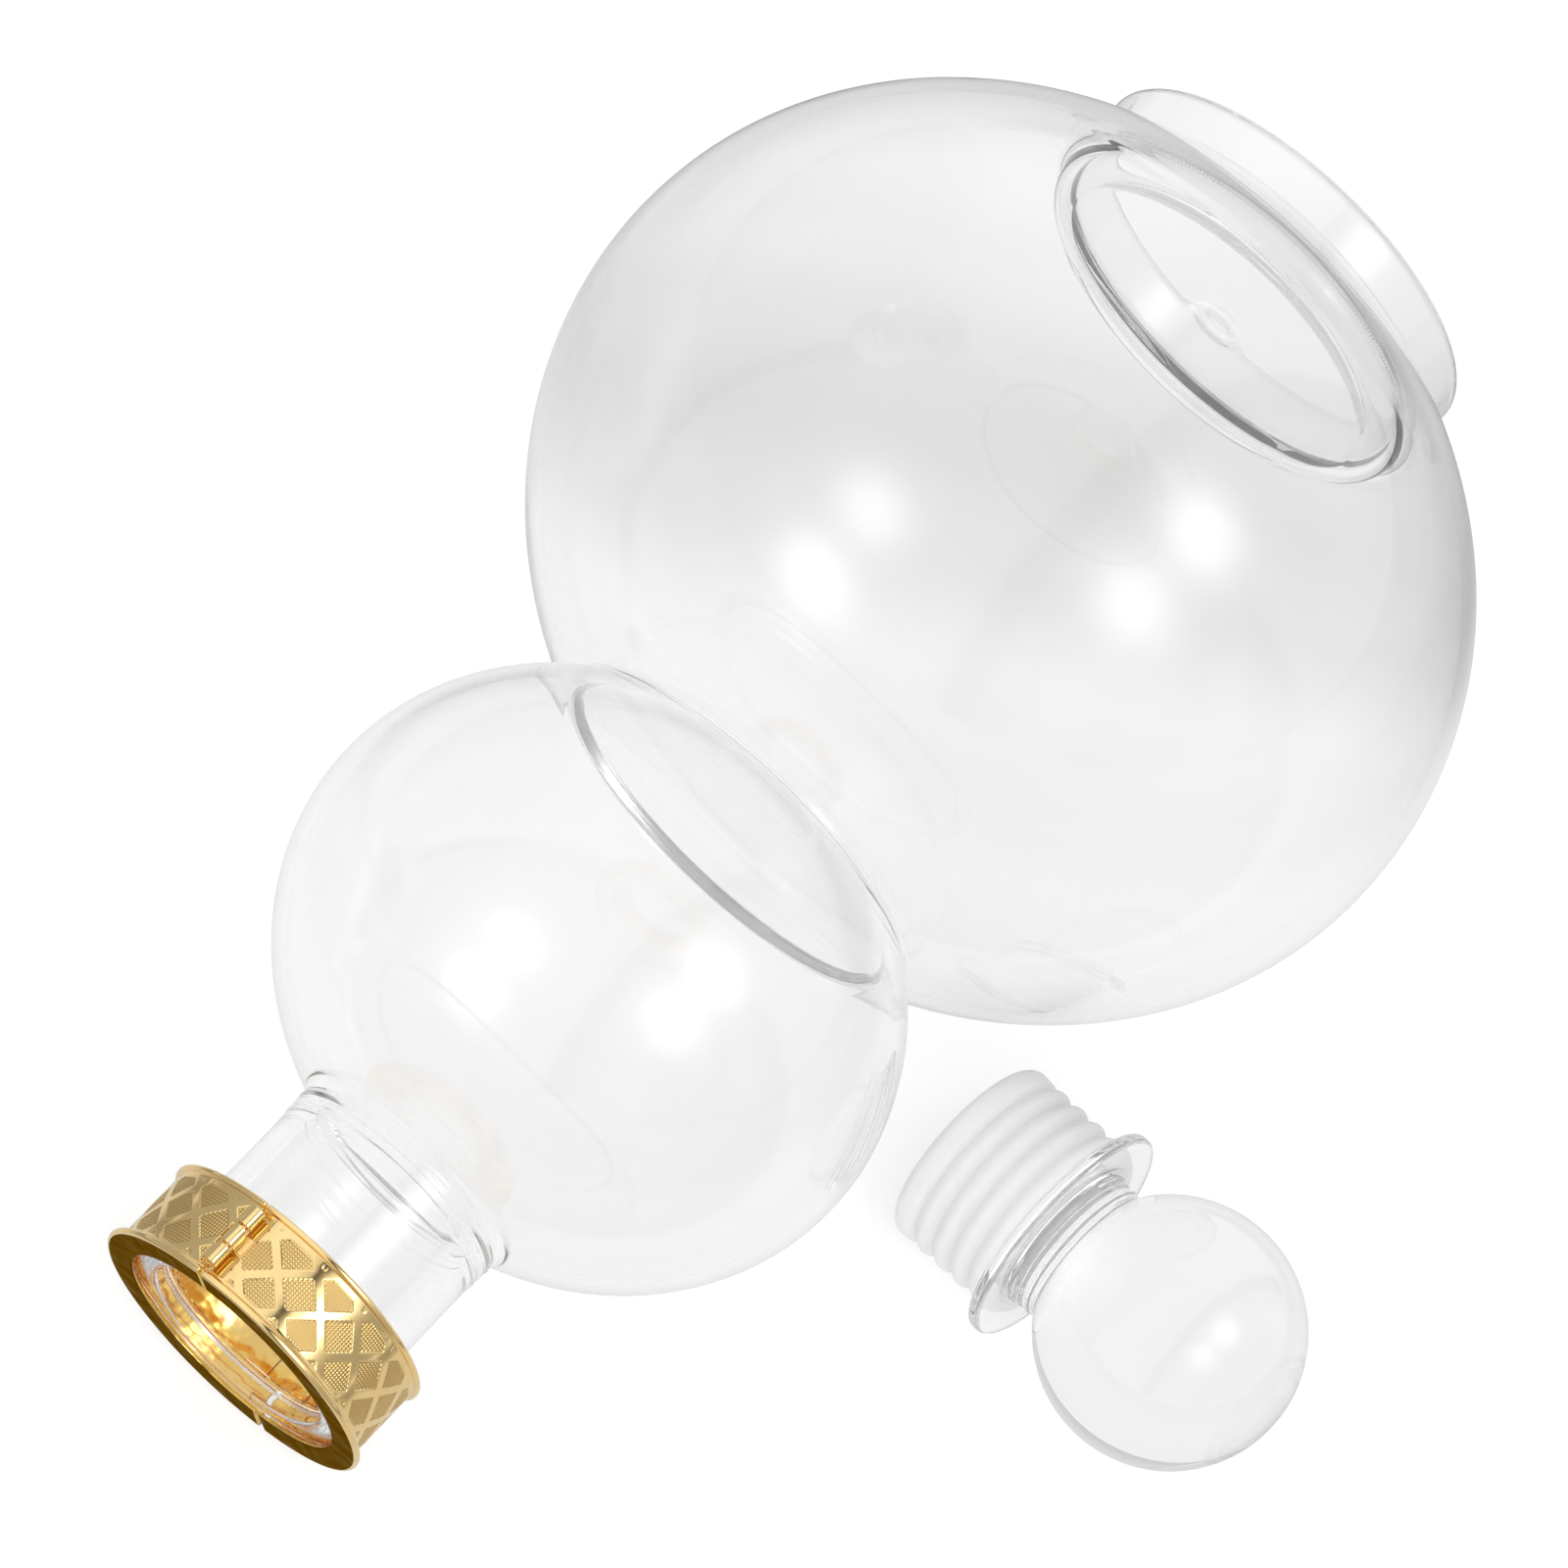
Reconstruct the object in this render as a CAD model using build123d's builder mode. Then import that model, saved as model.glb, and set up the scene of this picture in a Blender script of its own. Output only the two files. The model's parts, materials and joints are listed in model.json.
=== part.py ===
"""Gourd water bottle of clear glass, lying on its side with its ball stopper taken off beside it.

Millimetres, +Z up, +X from the foot towards the mouth, floor at zero height.
The bottle is described along its own axis: heights are measured from the middle
of the large bulb and grow towards the mouth.
"""
from math import asin, atan2, cos, degrees, hypot, radians, sin, sqrt
import os

from build123d import *

# Glass bottle
large_bulb_r = 56.0
large_bulb_polar_share = 0.888
small_bulb_r = 36.8
small_bulb_polar_share = 0.885
bulb_overlap = 13.046
bulb_wall = 2.0
waist_share = 0.54
waist_blend = 2.5
neck_bore_r = 11.9
neck_wall = 1.85
neck_blend = 5.0
neck_length = 24.8
lip_overhang = 2.0
lip_thickness = 2.2
lip_round = 0.8

# Pushed-up base of the bottle and its foot ring
foot_r = 26.0
foot_drop = 1.3
foot_edge = 0.8
foot_blend = 1.2
punt_depth = 11.5
punt_wall = 1.9
punt_round = 4.5

# Hinged collar of thin sheet, bent to a channel round the lip
sheet = 0.5
lip_clearance = 1.0
lip_end_gap = 0.3
collar_width = 11.0
front_rim_r = 18.3
front_bead_r = 0.7
rear_rim_r = 17.8
rear_bead_r = 0.6
front_flange_r = 14.6
neck_clearance = 0.45
opening_gap = 1.0
hinge_side_gap = 0.6
hinge_angle = 194.0

# Hinge of three rolled knuckles on one pin
knuckle_r = 0.95
knuckle_wall = 0.45
knuckle_gap = 0.25
window_clearance = 0.25
pin_fit = 0.05

# Spring tongue that laps across the opening of the collar
tongue_sheet = 0.4
tongue_width = 5.0
tongue_fit = 0.05
tongue_lap = 2.4
tongue_root = 3.2

# Ball stopper of solid glass
ball_r = 15.5
stem_r = 8.8
stem_ring_r = 0.45
stem_rings = 3
flange_r = 14.4
flange_thickness = 1.6
flange_round = 0.5
ball_to_flange = 17.0
stem_blend = 1.2
peg_r = 8.2
peg_short = 1.0

# Ribbed sleeve of silicone rubber on the peg of the stopper
seal_length = 14.5
seal_bore_fit = 0.05
seal_squeeze = 0.15
rib_count = 4
rib_height = 0.8
tip_length = 3.4
tip_round_share = 0.44

# Place of the stopper beside the bottle
ball_ahead_share = 0.70
tip_beside_share = 0.67
stopper_yaw = 5.0

overrun = 5.0

# Sizes that follow
large_polar = large_bulb_r * large_bulb_polar_share
small_polar = small_bulb_r * small_bulb_polar_share
bulb_spacing = large_polar + small_polar - bulb_overlap
waist_r = small_bulb_r * waist_share
mouth_height = bulb_spacing + small_polar + neck_length
foot_height = large_polar + foot_drop
neck_r = neck_bore_r + neck_wall
lip_r = neck_r + lip_overhang
channel_r = lip_r + lip_clearance
band_r = channel_r + sheet
collar_front = mouth_height + lip_end_gap + sheet
collar_rear = collar_front - collar_width
rear_flange_r = neck_r + neck_clearance
pin_r = knuckle_r - knuckle_wall - pin_fit
hinge_r = band_r + knuckle_r
opening_angle = hinge_angle - 180
stopper_length = ball_to_flange + flange_thickness / 2 + seal_length


def height_over_floor(radius, polar, dip):
    """Height of the middle of a spheroid that rests on the floor with its axis tilted by dip."""
    return hypot(radius * cos(dip), polar * sin(dip))


def dip_of_bottle():
    """Angle by which the axis dips towards the mouth when both bulbs touch the floor."""
    dip = 0.0
    for _ in range(12):
        drop = height_over_floor(large_bulb_r, large_polar, dip)
        drop -= height_over_floor(small_bulb_r, small_polar, dip)
        dip = asin(drop / bulb_spacing)
    return dip


def slope_of_stopper():
    """Angle by which the stopper rises towards its ball when ball and flange touch the floor."""
    flange_edge = ball_to_flange + flange_thickness / 2
    return asin(ball_r / hypot(flange_edge, flange_r)) - atan2(flange_r, flange_edge)


dip = dip_of_bottle()
slope = slope_of_stopper()

# The middle of the bounding box lies over the origin
foot_reach = foot_height * cos(dip) + foot_r * sin(dip)
collar_reach = collar_front * cos(dip) + front_rim_r * sin(dip)
stopper_ahead = large_bulb_r * ball_ahead_share
stopper_beside = large_bulb_r * tip_beside_share + stopper_length
bulb_x = (foot_reach - collar_reach) / 2
bulb_y = (large_bulb_r - stopper_beside - ball_r) / 2
bulb_z = height_over_floor(large_bulb_r, large_polar, dip)

bottle_frame = Plane(
    origin=(bulb_x, bulb_y, bulb_z),
    x_dir=(-sin(dip), 0, -cos(dip)),
    z_dir=(cos(dip), 0, -sin(dip)),
)
bottle_axis = Axis(bottle_frame.origin, bottle_frame.z_dir)

stopper_frame = Plane(
    origin=(bulb_x + stopper_ahead, bulb_y + stopper_beside, ball_r),
    x_dir=(cos(radians(stopper_yaw)), -sin(radians(stopper_yaw)), 0),
    z_dir=(
        sin(radians(stopper_yaw)) * cos(slope),
        cos(radians(stopper_yaw)) * cos(slope),
        sin(slope),
    ),
)
stopper_axis = Axis(stopper_frame.origin, stopper_frame.z_dir)


def radial(frame, angle):
    """Unit vector square to the axis of a frame, turned by an angle from its x direction."""
    return frame.x_dir * cos(radians(angle)) + frame.y_dir * sin(radians(angle))


def profile_plane(frame, angle=0.0):
    """Plane through the axis of a frame: x is the radius and y the height along the axis."""
    return Plane(origin=frame.origin, x_dir=radial(frame, angle), z_dir=-radial(frame, angle + 90))


def cross_plane(frame, height, angle=0.0):
    """Plane square to the axis of a frame at a height, with x turned by an angle."""
    origin = frame.origin + frame.z_dir * height
    return Plane(origin=origin, x_dir=radial(frame, angle), z_dir=frame.z_dir)


def place(x, y):
    """One place in the plane of a sketch."""
    return Locations((x, y))


# Glass body

def gourd_outline(inset, neck_radius):
    """Both bulbs and the neck as one flat outline, shrunk by an inset."""
    with BuildSketch() as outline:
        Ellipse(large_bulb_r - inset, large_polar - inset)
        with place(0, bulb_spacing):
            Ellipse(small_bulb_r - inset, small_polar - inset)
        with place(0, 0):
            Rectangle(2 * (waist_r - inset), bulb_spacing, align=(Align.CENTER, Align.MIN))
        waist = outline.vertices().filter_by(lambda v: large_polar / 2 < v.Y < bulb_spacing)
        fillet(waist.filter_by(lambda v: abs(v.X) > neck_radius), waist_blend)
        with place(0, bulb_spacing):
            Rectangle(2 * neck_radius, mouth_height - bulb_spacing, align=(Align.CENTER, Align.MIN))
        neck_root = outline.vertices().filter_by(
            lambda v: bulb_spacing < v.Y < mouth_height - lip_thickness
        )
        fillet(neck_root, neck_blend)
    return outline.sketch


def glass_outline():
    """Outside of the bottle with its foot and its lip."""
    with BuildSketch() as outline:
        add(gourd_outline(0, neck_r))
        with place(0, -foot_height):
            Rectangle(2 * foot_r, foot_height, align=(Align.CENTER, Align.MIN))
        foot_root = outline.vertices().filter_by(lambda v: -foot_height < v.Y < 0)
        fillet(foot_root, foot_blend)
        foot_corners = outline.vertices().group_by(Axis.Y)[0]
        fillet(foot_corners, foot_edge)
        with place(0, mouth_height):
            Rectangle(2 * lip_r, lip_thickness, align=(Align.CENTER, Align.MAX))
        lip_corners = outline.vertices().filter_by(
            lambda v: abs(v.X) > neck_r + lip_round and v.Y > mouth_height - 2 * lip_thickness
        )
        fillet(lip_corners, lip_round)
    return outline.sketch


def cavity_outline():
    """Inside of the bottle, cut flat over the pushed-up base and open through the mouth."""
    with BuildSketch() as outline:
        add(gourd_outline(bulb_wall, neck_bore_r))
        with place(0, mouth_height):
            Rectangle(2 * neck_bore_r, 2 * overrun)
        add(punt_outline(punt_wall), mode=Mode.SUBTRACT)
    return outline.sketch


def punt_outline(wall):
    """Pushed-up hollow in the base, grown by a wall."""
    with BuildSketch() as outline:
        with place(0, -foot_height + punt_depth + wall):
            Rectangle(2 * (foot_r - punt_wall + wall), foot_height, align=(Align.CENTER, Align.MAX))
        fillet(outline.vertices().group_by(Axis.Y)[-1], punt_round + wall)
    return outline.sketch


def right_half(shape):
    """The half of a flat outline on the right of the axis."""
    reach = 2 * (foot_height + mouth_height)
    with BuildSketch() as half:
        Rectangle(reach, reach, align=(Align.MIN, Align.CENTER))
        add(shape, mode=Mode.INTERSECT)
    return half.sketch


glass_section = right_half(glass_outline() - cavity_outline() - punt_outline(0))

with BuildPart() as glass_body:
    with BuildSketch(profile_plane(bottle_frame)):
        add(glass_section)
    revolve(axis=bottle_axis)
glass_body.part.label = "glass_body"


# Collar

def degrees_along(length, radius):
    """Angle that a length takes on a circle."""
    return degrees(length / radius)


def collar_section():
    """Section of the bent sheet: outer band, two flanges and two rounded rims."""
    with BuildSketch() as section:
        with place(channel_r, collar_rear):
            Rectangle(sheet, collar_width, align=(Align.MIN, Align.MIN))
        with place(front_flange_r, collar_front):
            Rectangle(band_r - front_flange_r, sheet, align=(Align.MIN, Align.MAX))
        with place(rear_flange_r, collar_rear):
            Rectangle(band_r - rear_flange_r, sheet, align=(Align.MIN, Align.MIN))
        with place(front_rim_r - front_bead_r, collar_front - front_bead_r):
            Circle(front_bead_r)
        with place(rear_rim_r - rear_bead_r, collar_rear + rear_bead_r):
            Circle(rear_bead_r)
    return section.sketch


def knuckle_section(side):
    """Rolled knuckle with the leaf that joins it to the band on one side of the hinge line."""
    leaf_side = Align.MAX if side > 0 else Align.MIN
    with BuildSketch() as section:
        with place(hinge_r, 0):
            Circle(knuckle_r)
        with place(band_r - sheet / 2, side * knuckle_r):
            Rectangle(knuckle_r + sheet / 2, knuckle_wall, align=(Align.MIN, leaf_side))
        with place(hinge_r, 0):
            Circle(knuckle_r - knuckle_wall, mode=Mode.SUBTRACT)
    return section.sketch


def window_section(side):
    """Cut-out in the band that clears a knuckle of the other half."""
    cut_side = Align.MIN if side > 0 else Align.MAX
    with BuildSketch() as section:
        with place(channel_r - sheet, 0):
            Rectangle(knuckle_r + 2 * sheet, knuckle_r + window_clearance, align=(Align.MIN, cut_side))
    return section.sketch


opening_side_angle = degrees_along(opening_gap / 2, band_r)
hinge_side_angle = degrees_along(hinge_side_gap / 2, band_r)
half_arc = 180 - opening_side_angle - hinge_side_angle
knuckle_zone_start = collar_rear + 2 * rear_bead_r + knuckle_gap
knuckle_zone_end = collar_front - 2 * front_bead_r - knuckle_gap
knuckle_zone = knuckle_zone_end - knuckle_zone_start
knuckle_length = (knuckle_zone - 2 * knuckle_gap) / 3
knuckle_starts = [knuckle_zone_start + i * (knuckle_length + knuckle_gap) for i in range(3)]
fixed_starts = [knuckle_starts[0], knuckle_starts[2]]
swing_starts = [knuckle_starts[1]]
section_of_collar = collar_section()
knuckle_sections = {side: knuckle_section(side) for side in (1, -1)}
window_sections = {side: window_section(side) for side in (1, -1)}


def collar_half(side, start_angle, own_starts, other_starts):
    """One half of the collar with its knuckles and with cut-outs for those of the other half."""
    with BuildPart() as half:
        with BuildSketch(profile_plane(bottle_frame, start_angle)):
            add(section_of_collar)
        revolve(axis=bottle_axis, revolution_arc=half_arc)
        for start in other_starts:
            with BuildSketch(cross_plane(bottle_frame, start - knuckle_gap, hinge_angle)):
                add(window_sections[side])
            extrude(amount=knuckle_length + 2 * knuckle_gap, mode=Mode.SUBTRACT)
        for start in own_starts:
            with BuildSketch(cross_plane(bottle_frame, start, hinge_angle)):
                add(knuckle_sections[side])
            extrude(amount=knuckle_length)
    return half


collar_fixed_half = collar_half(1, hinge_angle + hinge_side_angle, fixed_starts, swing_starts)
collar_fixed_half.part.label = "collar_fixed_half"

collar_swing_half = collar_half(-1, opening_angle + opening_side_angle, swing_starts, fixed_starts)
collar_swing_half.part.label = "collar_swing_half"

with BuildPart() as hinge_pin:
    with BuildSketch(cross_plane(bottle_frame, knuckle_zone_start, hinge_angle)):
        with place(hinge_r, 0):
            Circle(pin_r)
    extrude(amount=knuckle_zone)
    chamfer(hinge_pin.edges().filter_by(GeomType.CIRCLE), pin_r / 3)
hinge_pin.part.label = "hinge_pin"

tongue_start = opening_angle - degrees_along(opening_gap / 2 + tongue_lap, channel_r)
tongue_end = opening_angle + degrees_along(opening_gap / 2 + tongue_root, channel_r)

with BuildPart() as clasp_tongue:
    with BuildSketch(profile_plane(bottle_frame, tongue_start)):
        with place(channel_r - tongue_fit, (collar_front + collar_rear) / 2):
            Rectangle(tongue_sheet, tongue_width, align=(Align.MAX, Align.CENTER))
    revolve(axis=bottle_axis, revolution_arc=tongue_end - tongue_start)
clasp_tongue.part.label = "clasp_tongue"


# Stopper

flange_face = -ball_to_flange + flange_thickness / 2
seal_face = -ball_to_flange - flange_thickness / 2
ball_foot = -sqrt(ball_r**2 - stem_r**2)


def stopper_outline():
    """Ball, rippled stem, flange and peg, all turned about one axis."""
    ring_pitch = (ball_foot - flange_face) / (stem_rings + 1)
    ring_heights = [flange_face + (i + 1) * ring_pitch for i in range(stem_rings)]
    ring_places = [(side * stem_r, height) for side in (1, -1) for height in ring_heights]
    with BuildSketch() as outline:
        with place(0, -ball_to_flange):
            Rectangle(2 * flange_r, flange_thickness)
        fillet(outline.vertices(), flange_round)
        with place(0, 0):
            Rectangle(2 * stem_r, ball_to_flange, align=(Align.CENTER, Align.MAX))
        stem_root = outline.vertices().filter_by(lambda v: abs(abs(v.X) - stem_r) < flange_round)
        fillet(stem_root.group_by(Axis.Y)[0], stem_blend)
        Circle(ball_r)
        with Locations(*ring_places):
            Circle(stem_ring_r)
        with place(0, -ball_to_flange):
            peg_length = flange_thickness / 2 + seal_length - peg_short
            Rectangle(2 * peg_r, peg_length, align=(Align.CENTER, Align.MAX))
        fillet(outline.vertices().group_by(Axis.Y)[0], peg_short)
    return outline.sketch


def seal_section():
    """Sleeve with round ribs and a blunt rounded tip."""
    rib_r = neck_bore_r + seal_squeeze
    root_r = rib_r - rib_height
    bore_r = peg_r + seal_bore_fit
    rib_pitch = (seal_length - tip_length) / rib_count
    rib_places = [(root_r, seal_face - (i + 1 / 2) * rib_pitch) for i in range(rib_count)]
    with BuildSketch() as section:
        with place(bore_r, seal_face - seal_length):
            Rectangle(rib_r - bore_r, tip_length, align=(Align.MIN, Align.MIN))
        fillet(section.vertices().group_by(Axis.X)[-1], tip_length * tip_round_share)
        with Locations(*rib_places):
            Ellipse(rib_height, rib_pitch / 2)
        with place(bore_r, seal_face):
            Rectangle(root_r - bore_r, seal_length, align=(Align.MIN, Align.MAX))
    return section.sketch


outline_of_stopper = right_half(stopper_outline())
section_of_seal = seal_section()

with BuildPart() as glass_stopper:
    with BuildSketch(profile_plane(stopper_frame)):
        add(outline_of_stopper)
    revolve(axis=stopper_axis)
glass_stopper.part.label = "glass_stopper"

with BuildPart() as stopper_seal:
    with BuildSketch(profile_plane(stopper_frame)):
        add(section_of_seal)
    revolve(axis=stopper_axis)
stopper_seal.part.label = "stopper_seal"


os.makedirs("parts", exist_ok=True)
export_step(glass_body.part, "parts/glass_body.step")
export_step(collar_fixed_half.part, "parts/collar_fixed_half.step")
export_step(collar_swing_half.part, "parts/collar_swing_half.step")
export_step(hinge_pin.part, "parts/hinge_pin.step")
export_step(clasp_tongue.part, "parts/clasp_tongue.step")
export_step(glass_stopper.part, "parts/glass_stopper.step")
export_step(stopper_seal.part, "parts/stopper_seal.step")
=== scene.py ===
import json
from math import asin, atan2, cos, degrees, hypot, pi, radians, sin, sqrt

import bmesh
import bpy
import numpy as np
from mathutils import Matrix, Vector


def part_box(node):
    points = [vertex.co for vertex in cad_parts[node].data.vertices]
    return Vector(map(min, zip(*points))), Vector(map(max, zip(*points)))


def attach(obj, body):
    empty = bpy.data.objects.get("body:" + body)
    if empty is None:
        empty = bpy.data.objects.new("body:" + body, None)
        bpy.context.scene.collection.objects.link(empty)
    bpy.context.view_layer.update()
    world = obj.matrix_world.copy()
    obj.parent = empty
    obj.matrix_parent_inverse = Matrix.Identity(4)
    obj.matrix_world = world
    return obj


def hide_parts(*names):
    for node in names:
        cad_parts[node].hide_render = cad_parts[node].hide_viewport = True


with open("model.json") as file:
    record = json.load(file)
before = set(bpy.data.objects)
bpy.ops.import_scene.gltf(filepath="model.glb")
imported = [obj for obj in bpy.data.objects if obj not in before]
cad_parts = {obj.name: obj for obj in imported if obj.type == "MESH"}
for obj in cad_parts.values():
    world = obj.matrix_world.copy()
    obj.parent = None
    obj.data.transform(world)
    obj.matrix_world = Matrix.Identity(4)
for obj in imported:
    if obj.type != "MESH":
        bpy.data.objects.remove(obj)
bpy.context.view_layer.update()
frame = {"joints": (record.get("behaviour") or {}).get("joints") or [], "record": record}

# Glass bottle, in metres along its own axis from the middle of the large bulb
LARGE_R, LARGE_POLAR_SHARE = 0.056, 0.888
SMALL_R, SMALL_POLAR_SHARE = 0.0368, 0.885
LARGE_POLAR = LARGE_R * LARGE_POLAR_SHARE
SMALL_POLAR = SMALL_R * SMALL_POLAR_SHARE
BULB_SPACING = 0.06925
WAIST = 0.0462
WALL = 0.0016
NECK_BORE_R, NECK_R, NECK_LENGTH = 0.0119, 0.01375, 0.0248
NECK_JOINT = BULB_SPACING + SMALL_POLAR * sqrt(1 - (NECK_R / SMALL_R) ** 2)
MOUTH = BULB_SPACING + SMALL_POLAR + NECK_LENGTH
LIP_R, LIP_THICKNESS = 0.01575, 0.0022
FOOT_R, FOOT_BELOW_BULB = 0.0258, 0.0005
FOOT = LARGE_POLAR + FOOT_BELOW_BULB
PUNT_DEPTH, PUNT_WALL, PUNT_ROUND = 0.0107, 0.0019, 0.0022

# Collar
SHEET = 0.0005
CHANNEL_R = 0.01675
BAND_R = 0.01725
LIP_CLEARANCE, COLLAR_LENGTH = 0.0003, 0.011
COLLAR_FRONT = MOUTH + LIP_CLEARANCE + SHEET
COLLAR_REAR = COLLAR_FRONT - COLLAR_LENGTH
FRONT_RIM_R, FRONT_BEAD = 0.0183, 0.00042
REAR_RIM_R, REAR_BEAD = 0.0178, 0.00036
FRONT_FLANGE_R, REAR_FLANGE_R = 0.0146, 0.0142
OPENING_GAP, HINGE_SIDE_GAP = 0.001, 0.0006
KNUCKLE_R, KNUCKLE_WALL, KNUCKLE_GAP = 0.00095, 0.00045, 0.00025
PIN_R = 0.00045
HINGE_R = BAND_R + KNUCKLE_R

# Stopper, along its own axis from the middle of the ball
BALL_R = 0.0155
STEM_R = 0.0088
FLANGE_R, FLANGE_THICKNESS = 0.0144, 0.0016
BALL_TO_FLANGE = 0.017
PEG_R = 0.0082
SEAL_LENGTH = 0.0145
RIB_OVERSIZE = 0.00015
RIB_R, RIB_HEIGHT, RIB_COUNT = NECK_BORE_R + RIB_OVERSIZE, 0.0008, 4
TIP_LENGTH = 0.0034
STOPPER_YAW = radians(5.0)

# Camera: the photograph's view, where the lens is given for a picture 1600 pixels wide
PHOTO_WIDTH = 1600
FOCAL_PIXELS = 8943.8
SENSOR = 36.0
CLIP_START, CLIP_END = 0.05, 50.0
CAMERA_RIGHT = Vector((-0.6191, 0.7519, 0.2280))
CAMERA_UP = Vector((-0.5551, -0.6245, 0.5500))
CAMERA_BACK = Vector((0.5556, 0.2139, 0.8040))
BULB_IN_VIEW = (0.024127, 0.025999, 0.985161)

# Points closer than TOUCH count as one, and a radius below ON_AXIS counts as none
TOUCH, ON_AXIS = 1e-7, 1e-9

# Where the frame says that the bottle and the stopper lie
mouth_mount = next(m for m in frame["record"]["mounts"] if m["name"] == "mouth_bore")
hinge_joint = next(j for j in frame["joints"] if j["name"] == "collar_hinge")
AXIS = Vector(mouth_mount["axis"]).normalized()
BULB = Vector(mouth_mount["pos_m"]) - AXIS * (MOUTH - mouth_mount["dims"]["length_mm"] / 2000)
hinge_offset = Vector(hinge_joint["pos_m"]) - BULB
HINGE_SIDE = (hinge_offset - AXIS * hinge_offset.dot(AXIS)).normalized()
ball_corner = Vector(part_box("glass_stopper")[1])
BALL = Vector((ball_corner.x - BALL_R, ball_corner.y - BALL_R, BALL_R))


def stopper_axis():
    """Axis of the stopper from its plug to its ball. It lies on the ball and on the rim of the flange."""
    edge = BALL_TO_FLANGE + FLANGE_THICKNESS / 2
    slope = asin(BALL_R / hypot(edge, FLANGE_R)) - atan2(FLANGE_R, edge)
    return Vector((sin(STOPPER_YAW) * cos(slope), cos(STOPPER_YAW) * cos(slope), sin(slope)))


# Mesh helpers

def mesh_object(name, points, faces, materials, smooth=True, slots=None):
    """A mesh object from points and faces, with one material or with a slot number for each face."""
    mesh = bpy.data.meshes.new(name)
    mesh.from_pydata(np.asarray(points, float).tolist(), [], [list(map(int, f)) for f in faces])
    mesh.polygons.foreach_set("use_smooth", np.full(len(mesh.polygons), smooth))
    for material in materials if isinstance(materials, list) else [materials]:
        mesh.materials.append(material)
    if slots is not None:
        mesh.polygons.foreach_set("material_index", np.asarray(slots, np.int32))
    mesh.update()
    piece = bpy.data.objects.new(name, mesh)
    bpy.context.scene.collection.objects.link(piece)
    return piece


def frame_matrix(origin, axis, side):
    """Matrix whose z is an axis and whose x is a side direction, at an origin."""
    matrix = Matrix((side, axis.cross(side), axis)).transposed().to_4x4()
    matrix.translation = origin
    return matrix


def placed(points, matrix):
    """Points carried into the frame of the part."""
    m = np.array(matrix)
    return np.asarray(points, float) @ m[:3, :3].T + m[:3, 3]


def on_cylinder(radius, angle, height):
    """Points from radii, angles and heights about the z of a frame."""
    radius, angle, height = np.broadcast_arrays(radius, angle, height)
    return np.stack([radius * np.cos(angle), radius * np.sin(angle), height], -1)


def turned(profile, segments, wobble=None):
    """Points and faces of a profile of radius and height turned about z. Zero radius gives one point."""
    profile = np.array(profile, float)
    angles = np.linspace(0, 2 * pi, segments, endpoint=False)
    points, rows = [], []
    for radius, height in profile:
        if radius < ON_AXIS:
            rows.append(np.full(segments, len(points)))
            points.append([0, 0, height])
        else:
            bend = wobble(angles, radius, height) if wobble else 0
            rows.append(np.arange(len(points), len(points) + segments))
            points.extend(on_cylinder(radius + bend, angles, height).tolist())
    open_ended = profile[0][0] < ON_AXIS and profile[-1][0] < ON_AXIS
    faces = []
    for i in range(len(rows) - 1 if open_ended else len(rows)):
        a, b = rows[i], rows[(i + 1) % len(rows)]
        a_next, b_next = np.roll(a, -1), np.roll(b, -1)
        if a[0] == a_next[0] and b[0] == b_next[0]:
            continue
        if a[0] == a_next[0]:
            faces.extend(np.c_[a, b, b_next].tolist())
        elif b[0] == b_next[0]:
            faces.extend(np.c_[a, b, a_next].tolist())
        else:
            faces.extend(np.c_[a, b, b_next, a_next].tolist())
    return np.array(points), faces


def lathe(name, profile, matrix, material, segments, wobble=None):
    """A turned piece. The profile runs clockwise round the glass or rubber, with the axis on the left."""
    points, faces = turned(profile, segments, wobble)
    return mesh_object(name, placed(points, matrix), faces, material)


def arc(centre, radius, start, end, count):
    """Points of an arc in a profile, angles in degrees."""
    a = np.radians(np.linspace(start, end, count))
    return np.c_[centre[0] + radius * np.cos(a), centre[1] + radius * np.sin(a)]


def line(start, end, count):
    """Points of a straight run of a profile."""
    return np.linspace(start, end, count)


class Pile:
    """Meshes gathered into one piece."""

    def __init__(self):
        self.points, self.faces, self.slots, self.recess, self.count = [], [], [], [], 0

    def add(self, points, faces, slots=None, recess=None):
        """Another mesh, with a slot number for each face and a weight of painted shade for each point."""
        points = np.asarray(points, float)
        self.points.append(points)
        self.faces.extend([[int(i) + self.count for i in f] for f in faces])
        self.slots.extend([0] * len(faces) if slots is None else list(slots))
        self.recess.append(np.zeros(len(points)) if recess is None else recess)
        self.count += len(points)

    def piece(self, name, matrix, materials):
        """The gathered meshes as one object, with points in the same place welded."""
        points = placed(np.concatenate(self.points), matrix)
        piece = mesh_object(name, points, self.faces, materials, slots=self.slots)
        # The attribute holds each point's weight of painted shade in the recesses
        depth = piece.data.attributes.new("recess", "FLOAT", "POINT")
        depth.data.foreach_set("value", np.concatenate(self.recess).astype(np.float32))
        welded = bmesh.new()
        welded.from_mesh(piece.data)
        bmesh.ops.remove_doubles(welded, verts=list(welded.verts), dist=TOUCH)
        welded.to_mesh(piece.data)
        welded.free()
        return piece


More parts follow.
